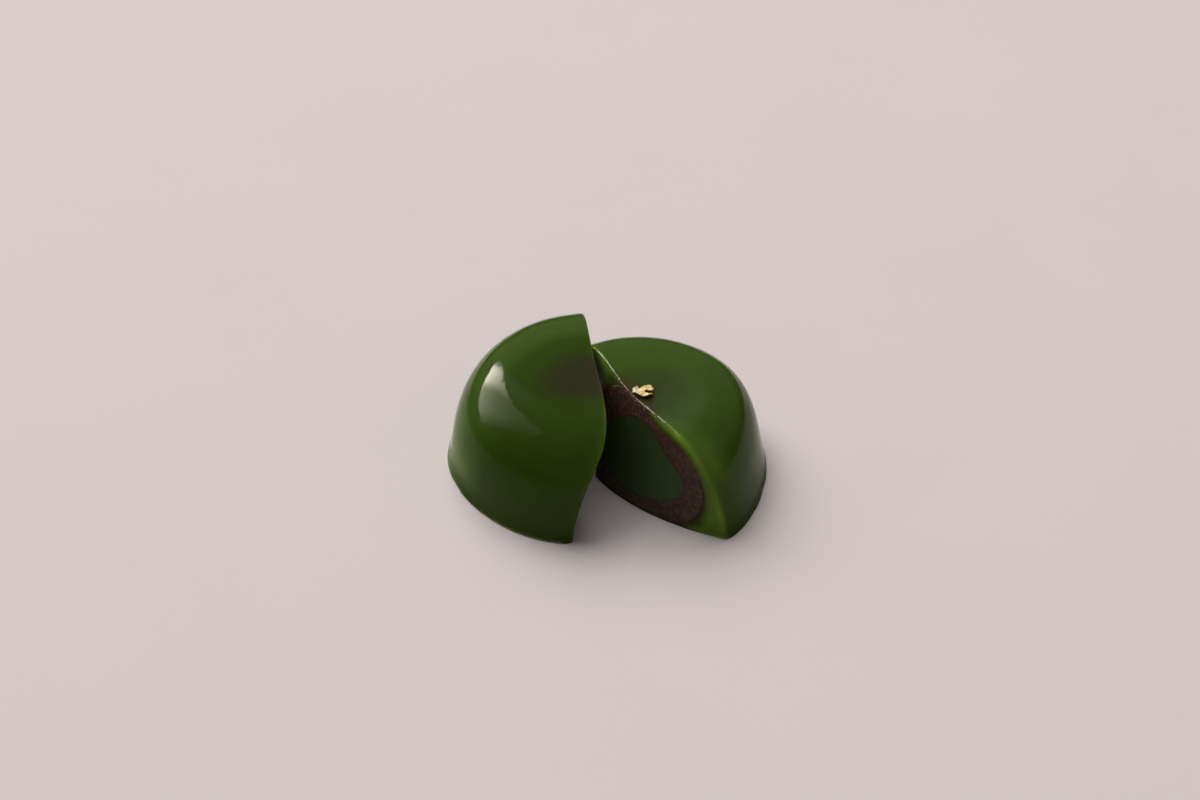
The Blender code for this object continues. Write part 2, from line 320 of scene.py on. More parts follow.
class FillingSettings(bpy.types.PropertyGroup):
    """The bean paste and the matcha core."""

    paste: colour_setting(
        name="Bean paste",
        description="Colour of the bean paste",
        default=(0.078, 0.053, 0.036),
    )
    paste_dark: colour_setting(
        name="Bean skins",
        description="Colour of the bits of skin in the paste",
        default=(0.055, 0.029, 0.023),
    )
    paste_red: colour_setting(
        name="Red paste",
        description="Colour of the paste where it almost reaches the skin",
        default=(0.090, 0.026, 0.016),
    )
    # Painted glints: the whitish colour of the spots painted on the paste just under the knife's edge
    glint_fleck: colour_setting(
        name="Flecks",
        description="Colour of the torn bits of jelly on the paste",
        default=(0.50, 0.42, 0.34),
    )
    core: colour_setting(
        name="Matcha core",
        description="Colour of the matcha core",
        default=(0.036, 0.086, 0.015),
    )
    crumb: length_setting(
        name="Crumb",
        description="Height of the crumbs on the cut paste",
        default=0.14 * MM,
    )
    overlap: length_setting(
        name="Overlap",
        description="How far each layer reaches into the one round it, which closes the seam between them",
        default=0.38 * MM,
    )


class LeafSettings(bpy.types.PropertyGroup):
    """The flake of gold leaf."""

    gold: colour_setting(
        name="Gold",
        description="Colour of the leaf",
        default=(1.0, 0.85, 0.46),
    )
    # Painted sheen: the lighter colour painted on the small lobe that lies flat
    flat_sheen: colour_setting(
        name="Pale gold",
        description="Colour of the lobe that lies flat",
        default=(1.0, 0.92, 0.68),
    )
    # Painted shade: the dark colour painted into the fork, whose gap is sunk into the jelly
    fork_shade: colour_setting(
        name="Folds",
        description="Colour deep in the fork of the leaf",
        default=(0.09, 0.055, 0.012),
    )
    crumple: length_setting(
        name="Crumple",
        description="Height of the creases in the leaf",
        default=0.2 * MM,
    )


class StageSettings(bpy.types.PropertyGroup):
    """Floor, light and camera."""

    floor: colour_setting(
        name="Floor",
        description="Colour of the floor",
        default=(0.86, 0.765, 0.750),
    )
    key: power_setting(
        name="Key light",
        description="Power of the panel behind the left half, seen only in reflections",
        default=980.0,
    )
    back: power_setting(
        name="Back light",
        description="Power of the dim panel behind the right half, seen only in reflections",
        default=7.5,
    )
    window: power_setting(
        name="Window light",
        description="Power of the broad soft light from the back, which leaves no reflection",
        default=162.0,
    )
    room: bpy.props.FloatProperty(
        name="Room",
        description="Brightness of the room all round",
        min=0.0,
        default=0.13,
    )


class Value:
    """A number in a material. Arithmetic on it adds the nodes that work it out."""

    def __init__(self, finish, socket):
        self.finish = finish
        self.socket = socket

    def maths(self, operation, first, second):
        return self.finish.add("ShaderNodeMath", {"operation": operation}, {0: first, 1: second})

    def __add__(self, other):
        return self.maths("ADD", self, other)

    __radd__ = __add__

    def __mul__(self, other):
        return self.maths("MULTIPLY", self, other)

    __rmul__ = __mul__

    def __sub__(self, other):
        return self.maths("SUBTRACT", self, other)

    def __rsub__(self, other):
        return self.maths("SUBTRACT", other, self)

    def ramp(self, low, high):
        """0 at low and 1 at high, smooth between."""
        return self.finish.add(
            "ShaderNodeMapRange",
            {"interpolation_type": "SMOOTHSTEP"},
            {"Value": self, "From Min": low, "From Max": high},
        )


class Finish:
    """A new material, and the one way in which its nodes are added."""

    def __init__(self, name):
        self.material = bpy.data.materials.new(name)
        self.material.use_nodes = True
        self.tree = self.material.node_tree
        self.shader = self.tree.nodes["Principled BSDF"]
        place = self.add("ShaderNodeTexCoord", output="Object")
        self.millimetres = self.scaled(place, (1.0 / MM,) * 3)

    def add(self, kind, settings=None, values=None, output=0):
        """Adds a node: its settings first, then a value or a link for each of its sockets."""
        node = self.tree.nodes.new(kind)
        for name, setting in (settings or {}).items():
            setattr(node, name, setting)
        for name, value in (values or {}).items():
            self.feed(node.inputs[name], value)
        return Value(self, node.outputs[output])

    def feed(self, socket, value):
        if isinstance(value, Value):
            self.tree.links.new(value.socket, socket)
        elif hasattr(socket.default_value, "__len__") and len(socket.default_value) == 4:
            socket.default_value = (*value, 1.0)
        else:
            socket.default_value = value

    def surface(self, **values):
        """Sets the shader's sockets, named with underscores for spaces."""
        for name, value in values.items():
            self.feed(self.shader.inputs[name.replace("_", " ")], value)

    def scaled(self, place, scale):
        return self.add("ShaderNodeMapping", values={"Vector": place, "Scale": scale})

    def along(self, axis):
        """Millimetres along X, Y or Z."""
        return self.add("ShaderNodeSeparateXYZ", values={"Vector": self.millimetres}, output=axis)

    def grain(self, size, detail=2.0, roughness=0.5, stretch=None):
        """Noise from 0 to 1, with features of about size millimetres."""
        place = self.scaled(self.millimetres, stretch) if stretch else self.millimetres
        values = {"Vector": place, "Scale": 1.0 / size, "Detail": detail, "Roughness": roughness}
        return self.add("ShaderNodeTexNoise", values=values)

    def cells(self, size):
        """Distance from the nearest of scattered points about size millimetres apart."""
        return self.add("ShaderNodeTexVoronoi", values={"Vector": self.millimetres, "Scale": 1.0 / size})

    def painted(self, name):
        """A value that the piece's mesh carries at each point."""
        return self.add("ShaderNodeAttribute", {"attribute_name": name}, output="Fac")

    def blend(self, first, second, share):
        """A colour between two."""
        return self.add("ShaderNodeMix", {"data_type": "RGBA"}, {0: share, 6: first, 7: second}, output=2)

    def relief(self, height, depth):
        """Bump of so many metres from a height of 0 to 1."""
        return self.add("ShaderNodeBump", values={"Height": height, "Distance": depth})


def ease(value, low, high):
    """0 at low and 1 at high, smooth between."""
    share = min(max((value - low) / (high - low), 0.0), 1.0)
    return share * share * (3.0 - 2.0 * share)


def bell(value, middle, width):
    """1 in the middle, falling away smoothly to both sides."""
    return math.exp(-(((value - middle) / width) ** 2))


def shaded(colour, shares):
    """A colour with only a share of its red, green and blue."""
    return tuple(part * share for part, share in zip(colour, shares))


def way_from(azimuth, rise):
    """The direction in which a light lies, from degrees from +Y towards +X and degrees above the floor."""
    turn, lift = math.radians(azimuth), math.radians(rise)
    return Vector((math.sin(turn) * math.cos(lift), math.cos(turn) * math.cos(lift), math.sin(lift)))


def deselect():
    if bpy.context.mode != "OBJECT":
        bpy.ops.object.mode_set(mode="OBJECT")
    bpy.ops.object.select_all(action="DESELECT")


def pick(piece):
    deselect()
    piece.select_set(True)
    bpy.context.view_layer.objects.active = piece


def layer_copy(node, name):
    """A new piece with a packed layer's mesh, its loose triangles joined into a quad mesh."""
    piece = bpy.data.objects.new(name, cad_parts[node].data.copy())
    piece.data.name = name
    bpy.context.scene.collection.objects.link(piece)
    pick(piece)
    piece.data.materials.clear()
    bpy.ops.mesh.customdata_custom_splitnormals_clear()
    bpy.ops.object.mode_set(mode="EDIT")
    bpy.ops.mesh.select_all(action="SELECT")
    bpy.ops.mesh.remove_doubles(threshold=SAME_POINT)
    bpy.ops.mesh.tris_convert_to_quads(face_threshold=QUAD_ANGLE, shape_threshold=QUAD_ANGLE)
    bpy.ops.object.mode_set(mode="OBJECT")
    return piece


def tree_of(node):
    """A packed layer's surface, for finding what lies nearest or in the way."""
    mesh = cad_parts[node].data
    return BVHTree.FromPolygons(
        [vertex.co for vertex in mesh.vertices],
        [face.vertices for face in mesh.polygons],
    )


def regions_of(piece):
    """Groups of faces that sharp edges part: how flat each is, which way it faces, and its faces."""
    mesh = bmesh.new()
    mesh.from_mesh(piece.data)
    mesh.faces.ensure_lookup_table()
    left = set(range(len(mesh.faces)))
    groups = []
    while left:
        start = left.pop()
        group, front = [start], [start]
        while front:
            face = mesh.faces[front.pop()]
            for edge in face.edges:
                if len(edge.link_faces) == 2 and edge.calc_face_angle() < SHARP:
                    for near in edge.link_faces:
                        if near.index in left:
                            left.remove(near.index)
                            group.append(near.index)
                            front.append(near.index)
        area = sum(mesh.faces[index].calc_area() for index in group)
        lean = sum((mesh.faces[index].normal * mesh.faces[index].calc_area() for index in group), Vector())
        groups.append((lean.length / area, lean.normalized(), group))
    mesh.free()
    return groups


def cut_faces(piece):
    """Indices of the faces that the knife made: the flattest region that doesn't face up or down."""
    upright = [group for group in regions_of(piece) if abs(group[1].z) < UPRIGHT]
    return set(max(upright, key=lambda group: group[0])[2])


def grow(piece, cut, distance):
    """Moves all but the cut face outwards, so that the layer reaches into the one round it."""
    mesh = bmesh.new()
    mesh.from_mesh(piece.data)
    moves = {}
    for vertex in mesh.verts:
        shell = [face for face in vertex.link_faces if face.index not in cut]
        if shell:
            moves[vertex] = sum((face.normal * face.calc_area() for face in shell), Vector()).normalized()
    for vertex, way in moves.items():
        vertex.co += way * distance
    mesh.to_mesh(piece.data)
    mesh.free()


def paint(piece, name, values):
    """Keeps one number for each point of the mesh, for the material to read."""
    layer = piece.data.attributes.get(name) or piece.data.attributes.new(name, "FLOAT", "POINT")
    layer.data.foreach_set("value", values)


def read(piece, name):
    return [point.value for point in piece.data.attributes[name].data]


def spread_out(piece, values, rounds):
    """Evens out numbers over the mesh, each with its neighbours."""
    near = [[] for _ in values]
    for edge in piece.data.edges:
        first, second = edge.vertices
        near[first].append(second)
        near[second].append(first)
    for _ in range(rounds):
        values = [
            0.5 * value + 0.5 * sum(values[other] for other in near[index]) / len(near[index])
            for index, value in enumerate(values)
        ]
    return values


def paint_cut(piece, cut):
    """Paints 1 on the cut face and 0 elsewhere, and 1 on the edges round it."""
    on_cut = [0.0] * len(piece.data.vertices)
    on_skin = list(on_cut)
    for face in piece.data.polygons:
        side = on_cut if face.index in cut else on_skin
        for vertex in face.vertices:
            side[vertex] = 1.0
    paint(piece, "cut", on_cut)
    paint(piece, "edge", [cut_here * skin_here for cut_here, skin_here in zip(on_cut, on_skin)])


def share_up(place, levels):
    """0 below the first level, 1 above the second, both slanting down towards the back."""
    level = place.z / MM + RIM_SLANT * place.y / MM
    return min(max((level - levels[0]) / (levels[1] - levels[0]), 0.0), 1.0)


def crease_sharp_edges(piece, sharpness):
    pick(piece)
    bpy.ops.object.mode_set(mode="EDIT")
    bpy.ops.mesh.select_mode(type="EDGE")
    bpy.ops.mesh.select_all(action="DESELECT")
    bpy.ops.mesh.edges_select_sharp(sharpness=SHARP)
    bpy.ops.transform.edge_crease(value=sharpness)
    bpy.ops.object.mode_set(mode="OBJECT")


def soften_low_rim(piece):
    """Takes some of the crease from the lower part of the knife's edge."""
    creases = piece.data.attributes["crease_edge"].data
    on_edge = read(piece, "edge")
    for edge in piece.data.edges:
        first, second = edge.vertices
        if on_edge[first] and on_edge[second]:
            middle = 0.5 * (piece.data.vertices[first].co + piece.data.vertices[second].co)
            share = share_up(middle, CRISP_FROM)
            creases[edge.index].value *= LOW_RIM_CREASE + (1.0 - LOW_RIM_CREASE) * share


def subdivide(piece, levels):
    pick(piece)
    modifier = piece.modifiers.new("round", "SUBSURF")
    modifier.levels = levels
    modifier.render_levels = levels
    bpy.ops.object.modifier_apply(modifier=modifier.name)


def even_out(piece):
    """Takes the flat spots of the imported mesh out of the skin, away from the knife's edge."""
    pick(piece)
    skin = piece.vertex_groups.new(name="skin")
    on_cut = read(piece, "cut")
    skin.add([index for index, value in enumerate(on_cut) if value < OFF_CUT], 1.0, "REPLACE")
    modifier = piece.modifiers.new("even", "SMOOTH")
    modifier.factor = SKIN_FACTOR
    modifier.iterations = SKIN_ROUNDS
    modifier.vertex_group = skin.name
    bpy.ops.object.modifier_apply(modifier=modifier.name)


def smooth(piece):
    pick(piece)
    bpy.ops.object.shade_smooth()


def displace(piece, height):
    """Moves each point along its normal by height(place in millimetres, point's index)."""
    normals = [vertex.normal.copy() for vertex in piece.data.vertices]
    for vertex, normal in zip(piece.data.vertices, normals):
        vertex.co += normal * height(vertex.co / MM, vertex.index)


def settle(piece, sag):
    """Lets the foot of a soft layer spread sideways, and keeps every point above the floor."""
    on_cut = read(piece, "cut")
    outwards = [vertex.normal.xy for vertex in piece.data.vertices]
    for vertex, out, cut in zip(piece.data.vertices, outwards, on_cut):
        low = 1.0 - ease(vertex.co.z / MM, 0.0, SAG_HEIGHT)
        vertex.co.xy += out * sag * low * (1.0 - cut)
        vertex.co.z = max(vertex.co.z, 0.0)


def paint_rim(piece, apart=None):
    """Paints how many millimetres each point is from the knife's edge, where that runs apart from a layer."""
    on_edge = read(piece, "edge")
    points = [vertex.co for vertex in piece.data.vertices]
    steps = []
    for edge in piece.data.edges:
        first, second = edge.vertices
        if min(on_edge[first], on_edge[second]) > ON_EDGE:
            if apart is None or apart.find_nearest(points[first])[3] > RIM_APART:
                steps += [
                    points[first].lerp(points[second], step / RIM_STEPS) for step in range(RIM_STEPS + 1)
                ]
    line = KDTree(len(steps))
    for index, point in enumerate(steps):
        line.insert(point, index)
    line.balance()
    paint(piece, "rim", [line.find(point)[2] / MM for point in points])


def ways_to_light():
    """Directions spread over a cone round the way to the window light."""
    middle = way_from(*WINDOW_FROM)
    aim = middle.to_track_quat("Z", "Y")
    ways = [middle]
    widest = LIGHT_RINGS[-1][0]
    for ring, count in LIGHT_RINGS:
        slope = math.radians(ring)
        for step in range(count):
            around = 2.0 * math.pi * (step + ring / widest) / count
            out = math.sin(slope)
            ways.append(aim @ Vector((math.cos(around) * out, math.sin(around) * out, math.cos(slope))))
    return ways


def light_through(vertex, ways, jelly, paste):
    """The light that reaches a point of the skin from behind, through jelly with no paste in the way."""
    start = vertex.co - vertex.normal * UNDER_SKIN * MM
    light = 0.0
    for way in ways:
        leaves = jelly.ray_cast(start, way)[3]
        if leaves is None or vertex.normal.dot(way) > FACES_LIGHT:
            continue
        blocked = paste.ray_cast(start, way)[3]
        if blocked is None or blocked > leaves + OUT_OF_THE_WAY:
            light += math.exp(-leaves / (CLEAR_DEPTH * MM))
    return light / len(ways)


def paint_depth(piece, paste, half):
    """Paints the light that comes through the jelly, its glow away from the paste and its shade over it."""
    jelly = tree_of(f"jelly_{half}")
    ways = ways_to_light()
    glow_from, glow_full, least = GLOW_FROM[half]
    strength, reach = SHADE[half]
    through, glow, shade = [], [], []
    for vertex in piece.data.vertices:
        through.append(THROUGH[half] * light_through(vertex, ways, jelly, paste))
        near = paste.find_nearest(vertex.co)[3] / MM
        high = ease(vertex.co.z / MM, *GLOW_HEIGHT[half])
        glow.append(high * (least + (1.0 - least) * ease(near, glow_from, glow_full)))
        shade.append(strength * (1.0 - ease(near, SHADE_FULL, reach)))
    paint(piece, "through", spread_out(piece, through, LIGHT_SPREAD))
    paint(piece, "glow", spread_out(piece, glow, GLOW_SPREAD))
    paint(piece, "shade", shade)


def paint_rim_colours(piece, paste, half):
    """Paints where the right half's rim highlight is painted along the knife's edge, and where the paste
    shows through a film of jelly.
    """
    rim, on_cut = read(piece, "rim"), read(piece, "cut")
    gap, gap_middle, gap_width = GLINT_GAP
    rim_glint, film = [], []
    for index, vertex in enumerate(piece.data.vertices):
        near = paste.find_nearest(vertex.co)[3] / MM
        share = share_up(vertex.co, GLINT_FROM) if half == "right" else 0.0
        thin = share * (1.0 - ease(rim[index] + near, *FILM))
        stain = share * (1.0 - ease(rim[index] + near, *STAIN))
        seam = SEAM_TINT * (1.0 - ease(near, 0.0, SEAM_REACH))
        # painted highlight along the knife's edge, weaker in one place
        rim_glint.append(share * (1.0 - gap * bell(vertex.co.y / MM, gap_middle, gap_width)))
        film.append(max(on_cut[index] * max(thin, seam), STAIN_TINT * stain))
    paint(piece, "rim_glint", rim_glint)
    paint(piece, "film", film)


def paint_left_light(piece):
    """Paints the light in the left half's outer wall and on the lip under it."""
    on_cut, through = read(piece, "cut"), read(piece, "through")
    facing = [-vertex.normal.x for vertex in piece.data.vertices]
    for index, square in enumerate(facing):
        through[index] += WALL_GLOW * ease(square, *WALL_FACING) * (1.0 - on_cut[index])
    paint(piece, "through", through)
    paint(piece, "lip_light", [ease(square, *LIP_FACING) for square in facing])
    paint(piece, "lit_face", [0.0] * len(facing))


def paint_right_light(piece, paste):
    """Paints the light in the right half's cut and in the skin beside it, and leaves its lip all in painted
    shade.
    """
    rim, on_cut, through = read(piece, "rim"), read(piece, "cut"), read(piece, "through")
    patch, patch_middle, patch_width = DIM_PATCH
    far, far_reach = FAR_FACE
    lit_face = []
    for index, vertex in enumerate(piece.data.vertices):
        near = paste.find_nearest(vertex.co)[3] / MM
        forward, level = -vertex.co.y / MM, vertex.co.z / MM
        tip = ease(forward, *TIP_FORWARD)
        dimmed = patch * bell(forward, patch_middle, patch_width) - far * (1.0 - ease(forward, 0.0, far_reach))
        bright = (1.0 - dimmed) * (1.0 - TIP_DIM * tip * ease(level, *TIP_HIGH))
        bright *= FACE_LEAST + (1.0 - FACE_LEAST) * ease(near, *FACE_NEAR)
        lit_face.append(ease(on_cut[index], *FACE_FROM) * bright)
        corner = tip * ease(near, *CORNER_NEAR) * (1.0 - ease(level, *CORNER_HEIGHT))
        shoulder = 1.0 - ease(rim[index], *SHOULDER_RIM)
        shoulder *= ease(level, *SHOULDER_HEIGHT) * ease(forward, *SHOULDER_FORWARD)
        through[index] += CORNER_GLOW * corner * on_cut[index]
        through[index] += SHOULDER_GLOW * shoulder * (1.0 - on_cut[index])
    paint(piece, "through", through)
    # the right half's lip is all in painted shade
    paint(piece, "lip_light", [0.0] * len(through))
    paint(piece, "lit_face", lit_face)


def show(piece, node, finish):
    """Gives a finished piece its material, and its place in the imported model."""
    piece.data.materials.append(finish)
    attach(piece, "root")
    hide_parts(node)


def jelly_finish(settings):
    """Wet jelly: bright where light comes through it, brown over the paste, with a painted highlight and
    whitish painted glints along the knife's edge.
    """
    finish = Finish("jelly")
    cut, rim, rim_glint, lit = (finish.painted(name) for name in ("cut", "rim", "rim_glint", "lit_face"))
    on_face = cut.ramp(*ON_FACE)
    cloud = finish.grain(5.0, detail=3.0)
    height = finish.along("Z")
    colour = finish.blend(settings.deep, settings.crown, finish.painted("glow") * (1.0 - on_face))
    light = finish.painted("through") + CLOUDS * (cloud - 0.5)
    low, high = (start - sooner * lit for start, sooner in zip(BRIGHT_FROM, BRIGHT_SOONER))
    colour = finish.blend(colour, settings.thin, light.ramp(low, high))
    colour = finish.blend(colour, settings.shadowed, finish.painted("shade") * (1.0 - on_face))
    # painted light on the side of the lip that faces the light, painted shade on the other
    lip = finish.blend(settings.lip_dark, settings.lip, finish.painted("lip_light"))
    colour = finish.blend(lip, colour, (height + 0.2 * cloud).ramp(*LIP_HEIGHT))
    colour = finish.blend(colour, settings.film, 0.9 * finish.painted("film"))
    # whitish spots of painted glint on the cut near the knife's edge
    glint_specks = rim_glint * (1.0 - rim.ramp(*SPECK_REACH)) * on_face * finish.grain(0.4).ramp(*SPECK_GRAIN)
    colour = finish.blend(colour, settings.rim_glint, 0.8 * glint_specks)
    # the painted highlight along the knife's edge, with a ragged margin
    ragged = rim - RAGGED_REACH * finish.grain(0.35).ramp(*RAGGED_GRAIN)
    edge = rim_glint * (1.0 - ragged.ramp(*GLINT_WIDTH)) * finish.grain(0.9, detail=3.0).ramp(*GLINT_GRAIN)
    colour = finish.blend(colour, settings.rim_glint, edge)
    finish.surface(
        Base_Color=colour,
        Roughness=0.04 + 0.03 * finish.grain(3.0) + 0.28 * cut,
        IOR=JELLY_INDEX,
        Specular_IOR_Level=0.10,
        Coat_Weight=0.27 * height.ramp(*SHINE_HEIGHT),
        Coat_IOR=JELLY_INDEX,
        Coat_Roughness=0.05,
        Subsurface_Weight=1.0,
        Subsurface_Radius=GLOW_COLOURS,
        Subsurface_Scale=4.0 * MM,
        Normal=finish.relief(finish.grain(1.1, detail=1.0), 0.02 * MM),
    )
    return finish.material


def paste_finish(settings):
    """Moist paste with bits of bean skin, redder where it almost reaches the skin and dotted there with
    whitish painted glints, with painted shade low towards the far end.
    """
    finish = Finish("bean paste")
    crumbs = finish.grain(0.9, detail=4.0, roughness=0.6)
    bits = (crumbs + 0.3 * finish.cells(1.3)).ramp(*SKIN_BITS_GRAIN)
    rim, height = finish.painted("rim"), finish.along("Z")
    colour = finish.blend(settings.paste, settings.paste_dark, bits)
    # painted shade over the low part of the paste towards the far end
    far = finish.along("Y").ramp(*FAR_SHADE_END) * (1.0 - height.ramp(*FAR_PASTE_SHADE_HEIGHT))
    colour = finish.blend(colour, shaded(settings.paste, FAR_PASTE_SHADE), 0.9 * far)
    top = height.ramp(*RED_HEIGHT) * (1.0 - rim.ramp(*RED_RIM))
    colour = finish.blend(colour, settings.paste_red, 0.8 * top)
    # whitish spots of painted glint just under the knife's edge
    glint_flecks = height.ramp(*FLECK_HEIGHT) * (1.0 - rim.ramp(*FLECK_RIM))
    glint_flecks = glint_flecks * finish.grain(0.5).ramp(*FLECK_GRAIN)
    finish.surface(
        Base_Color=finish.blend(colour, settings.glint_fleck, 0.55 * glint_flecks),
        Roughness=0.5 + 0.3 * crumbs.ramp(0.35, 0.65),
        IOR=FILLING_INDEX,
        Specular_IOR_Level=0.3,
        Normal=finish.relief(finish.grain(0.35, detail=4.0, roughness=0.7), 0.07 * MM),
    )
    return finish.material


def core_finish(settings):
    """Smooth matcha paste with the knife's strokes in it, and painted shade towards the far end."""
    finish = Finish("matcha core")
    strokes = finish.grain(1.2, detail=3.0, stretch=(1.0, 1.0, 0.25))
    fine = finish.grain(0.3, detail=3.0)
    dark = shaded(settings.core, (STROKE_DARK,) * 3)
    colour = finish.blend(settings.core, dark, strokes.ramp(*STROKE_GRAIN))
    # painted shade towards the far end
    colour = finish.blend(colour, shaded(settings.core, FAR_CORE_SHADE), 0.9 * finish.along("Y").ramp(*FAR_SHADE_END))
    edge = finish.painted("rim") + 0.9 * (finish.grain(1.6, detail=4.0, roughness=0.6) - 0.5)
    finish.surface(
        Base_Color=finish.blend(settings.paste_dark, colour, edge.ramp(*CORE_EDGE)),
        Roughness=0.46 + 0.2 * fine,
        Specular_IOR_Level=0.3,
        IOR=FILLING_INDEX,
        Subsurface_Weight=0.4,
        Subsurface_Radius=(0.6, 1.0, 0.3),
        Subsurface_Scale=0.8 * MM,
        Normal=finish.relief(0.5 * strokes + 0.5 * fine, 0.06 * MM),
    )
    return finish.material


def leaf_finish(settings):
    """Crumpled foil, with a painted sheen on the lobe that lies flat and painted shade in its fork."""
    finish = Finish("gold leaf")
    creases = finish.grain(0.5, detail=3.0, roughness=0.6)
    colour = finish.blend(settings.gold, shaded(settings.gold, WORN_GOLD), creases.ramp(*WORN_GRAIN))
    colour = finish.blend(settings.flat_sheen, colour, finish.along("X").ramp(*PALE_LOBE))
    finish.surface(
        Base_Color=finish.blend(colour, settings.fork_shade, finish.painted("fork").ramp(*FORK_DARK)),
        Metallic=0.13,
        Roughness=0.34 + 0.2 * creases,
        Normal=finish.relief(finish.grain(0.35, detail=3.0), 0.08 * MM),
    )
    return finish.material


def floor_finish(settings):
    finish = Finish("floor")
    mottled = shaded(settings.floor, (FLOOR_MOTTLE,) * 3)
    finish.surface(
        Base_Color=finish.blend(settings.floor, mottled, finish.grain(40.0)),
        Roughness=1.0,
        Specular_IOR_Level=0.0,
    )
    return finish.material


def make_filling(settings, layer, name, crease, height, wave, material):
    """Makes one layer of the filling in both halves. wave gives the unevenness of its cut, from -1 to 1."""
    for half in HALVES:
        piece = layer_copy(f"{layer}_{half}", f"{name}_{half}")
        cut = cut_faces(piece)
        grow(piece, cut, settings.overlap)
        paint_cut(piece, cut)
        crease_sharp_edges(piece, crease)
        subdivide(piece, FILLING_LEVELS)
        on_cut = read(piece, "cut")
        displace(piece, lambda place, index: height * on_cut[index] * wave(place))
        paint_rim(piece)
        smooth(piece)
        show(piece, f"{layer}_{half}", material)


def crumple_leaf(piece, height):
    """Creases the leaf and sinks its fork, and paints how deep in the fork each point lies."""
    middle = sum((vertex.co for vertex in piece.data.vertices), Vector()) / len(piece.data.vertices)

    def wave(place, level, size):
        """One of many unlike waves over the leaf, told apart by its level."""
        return noise.noise(Vector((place.x, place.y, level)) / size)

    fork = []
    for vertex in piece.data.vertices:
        place = vertex.co / MM
        away = (vertex.co - middle) / MM
        ridge = 1.0 - 2.0 * abs(wave(place, 0.0, RIDGE_SIZE))
        bumps = wave(place, 9.0, BUMP_SIZE)
        lobe = ease(-away.x, *SMALL_LOBE)
        notch = ease(away.x, *FORK_START) * (1.0 - ease(abs(away.y - FORK_MIDDLE), *FORK_WIDTH))
        creases = ridge + SMALL_LOBE_LIFT * lobe + BUMP_SHARE * bumps * (1.0 - lobe)
        ragged = Vector((wave(place, 5.0, RAGGED_SIZE), wave(place, 17.0, RAGGED_SIZE), 0.0))
        vertex.co.z += height * creases - FORK_DEPTH * notch
        vertex.co += ragged * height * min(away.xy.length / RAGGED_FULL, 1.0)
        vertex.co.y += bell(away.x, *NECK) * NECK_WIDER * (vertex.co.y - middle.y) + LEAF_SHIFT
        fork.append(notch)
    paint(piece, "fork", fork)


class MANJU_OT_jelly(bpy.types.Operator):
    """Makes both halves of the outer jelly"""

    bl_idname = "manju.jelly"
    bl_label = "Jelly"

    def execute(self, context):
        settings = context.scene.manju_jelly
        material = jelly_finish(settings)
        height = settings.waves
        for half in HALVES:
            piece = layer_copy(f"jelly_{half}", f"wet_jelly_{half}")
            paint_cut(piece, cut_faces(piece))
            crease_sharp_edges(piece, settings.rim)
            soften_low_rim(piece)
            subdivide(piece, JELLY_LEVELS)
            even_out(piece)
            displace(piece, lambda place, index: height * noise.noise(place / SKIN_WAVE))
            settle(piece, settings.sag if half == "left" else 0.0)
            paste = tree_of(f"bean_paste_{half}")
            paint_depth(piece, paste, half)
            paint_rim(piece, paste)
            paint_rim_colours(piece, paste, half)
            if half == "left":
                paint_left_light(piece)
            else:
                paint_right_light(piece, paste)
            smooth(piece)
            show(piece, f"jelly_{half}", material)
        return {"FINISHED"}


class MANJU_OT_paste(bpy.types.Operator):
    """Makes the bean paste of both halves"""

    bl_idname = "manju.paste"
    bl_label = "Bean paste"

    def execute(self, context):
        settings = context.scene.manju_filling
        make_filling(
            settings,
            layer="bean_paste",
            name="crumbly_paste",
            crease=PASTE_CREASE,
            height=settings.crumb,
            wave=lambda place: noise.fractal(place / CRUMB_SIZE, 1.0, 2.0, CRUMB_OCTAVES),
            material=paste_finish(settings),
        )
        return {"FINISHED"}


class MANJU_OT_core(bpy.types.Operator):
    """Makes the matcha core of both halves"""

    bl_idname = "manju.core"
    bl_label = "Matcha core"

    def execute(self, context):
        settings = context.scene.manju_filling
        make_filling(
            settings,
            layer="matcha_core",
            name="smooth_core",
            crease=CORE_CREASE,
            height=CORE_WAVE_HEIGHT,
            wave=lambda place: noise.noise(place / CORE_WAVE),
            material=core_finish(settings),
        )
        return {"FINISHED"}


class MANJU_OT_leaf(bpy.types.Operator):
    """Makes the crumpled flake of gold leaf"""

    bl_idname = "manju.leaf"
    bl_label = "Gold leaf"

    def execute(self, context):
        settings = context.scene.manju_leaf
        piece = layer_copy("gold_leaf", "crumpled_leaf")
        subdivide(piece, LEAF_LEVELS)
        crumple_leaf(piece, settings.crumple)
        smooth(piece)
        bpy.ops.object.shade_smooth_by_angle(angle=LEAF_SHARP)
        show(piece, "gold_leaf", leaf_finish(settings))
        return {"FINISHED"}


class MANJU_OT_stage(bpy.types.Operator):
    """Lays the floor and sets the lights and the camera"""

    bl_idname = "manju.stage"
    bl_label = "Stage"

    def execute(self, context):
        settings = context.scene.manju_stage
        lay_floor(settings)
        black_flag()
        key = softbox("key light", KEY_FROM, KEY_SPREAD, settings.key)
        key.visible_diffuse = False
        key.data.color = KEY_COLOUR
        key.rotation_euler.rotate_axis("Z", KEY_ROLL)
        pattern = Pattern(key.data)
        pattern.fade("X", *KEY_TIP)
        pattern.fade("X", *KEY_BRIGHT)
        pattern.fade("X", *KEY_DIM)
        pattern.fade("Y", *KEY_RISE)
        pattern.slant()
        back = softbox("back light", BACK_FROM, BACK_SPREAD, settings.back)
        back.visible_diffuse = False
        pattern = Pattern(back.data)
        pattern.hump("X")
        pattern.hump("Y")
        window = softbox("window light", WINDOW_FROM, WINDOW_SPREAD, settings.window)
        window.visible_glossy = False
        light_room(settings.room)
        place_camera()
        return {"FINISHED"}


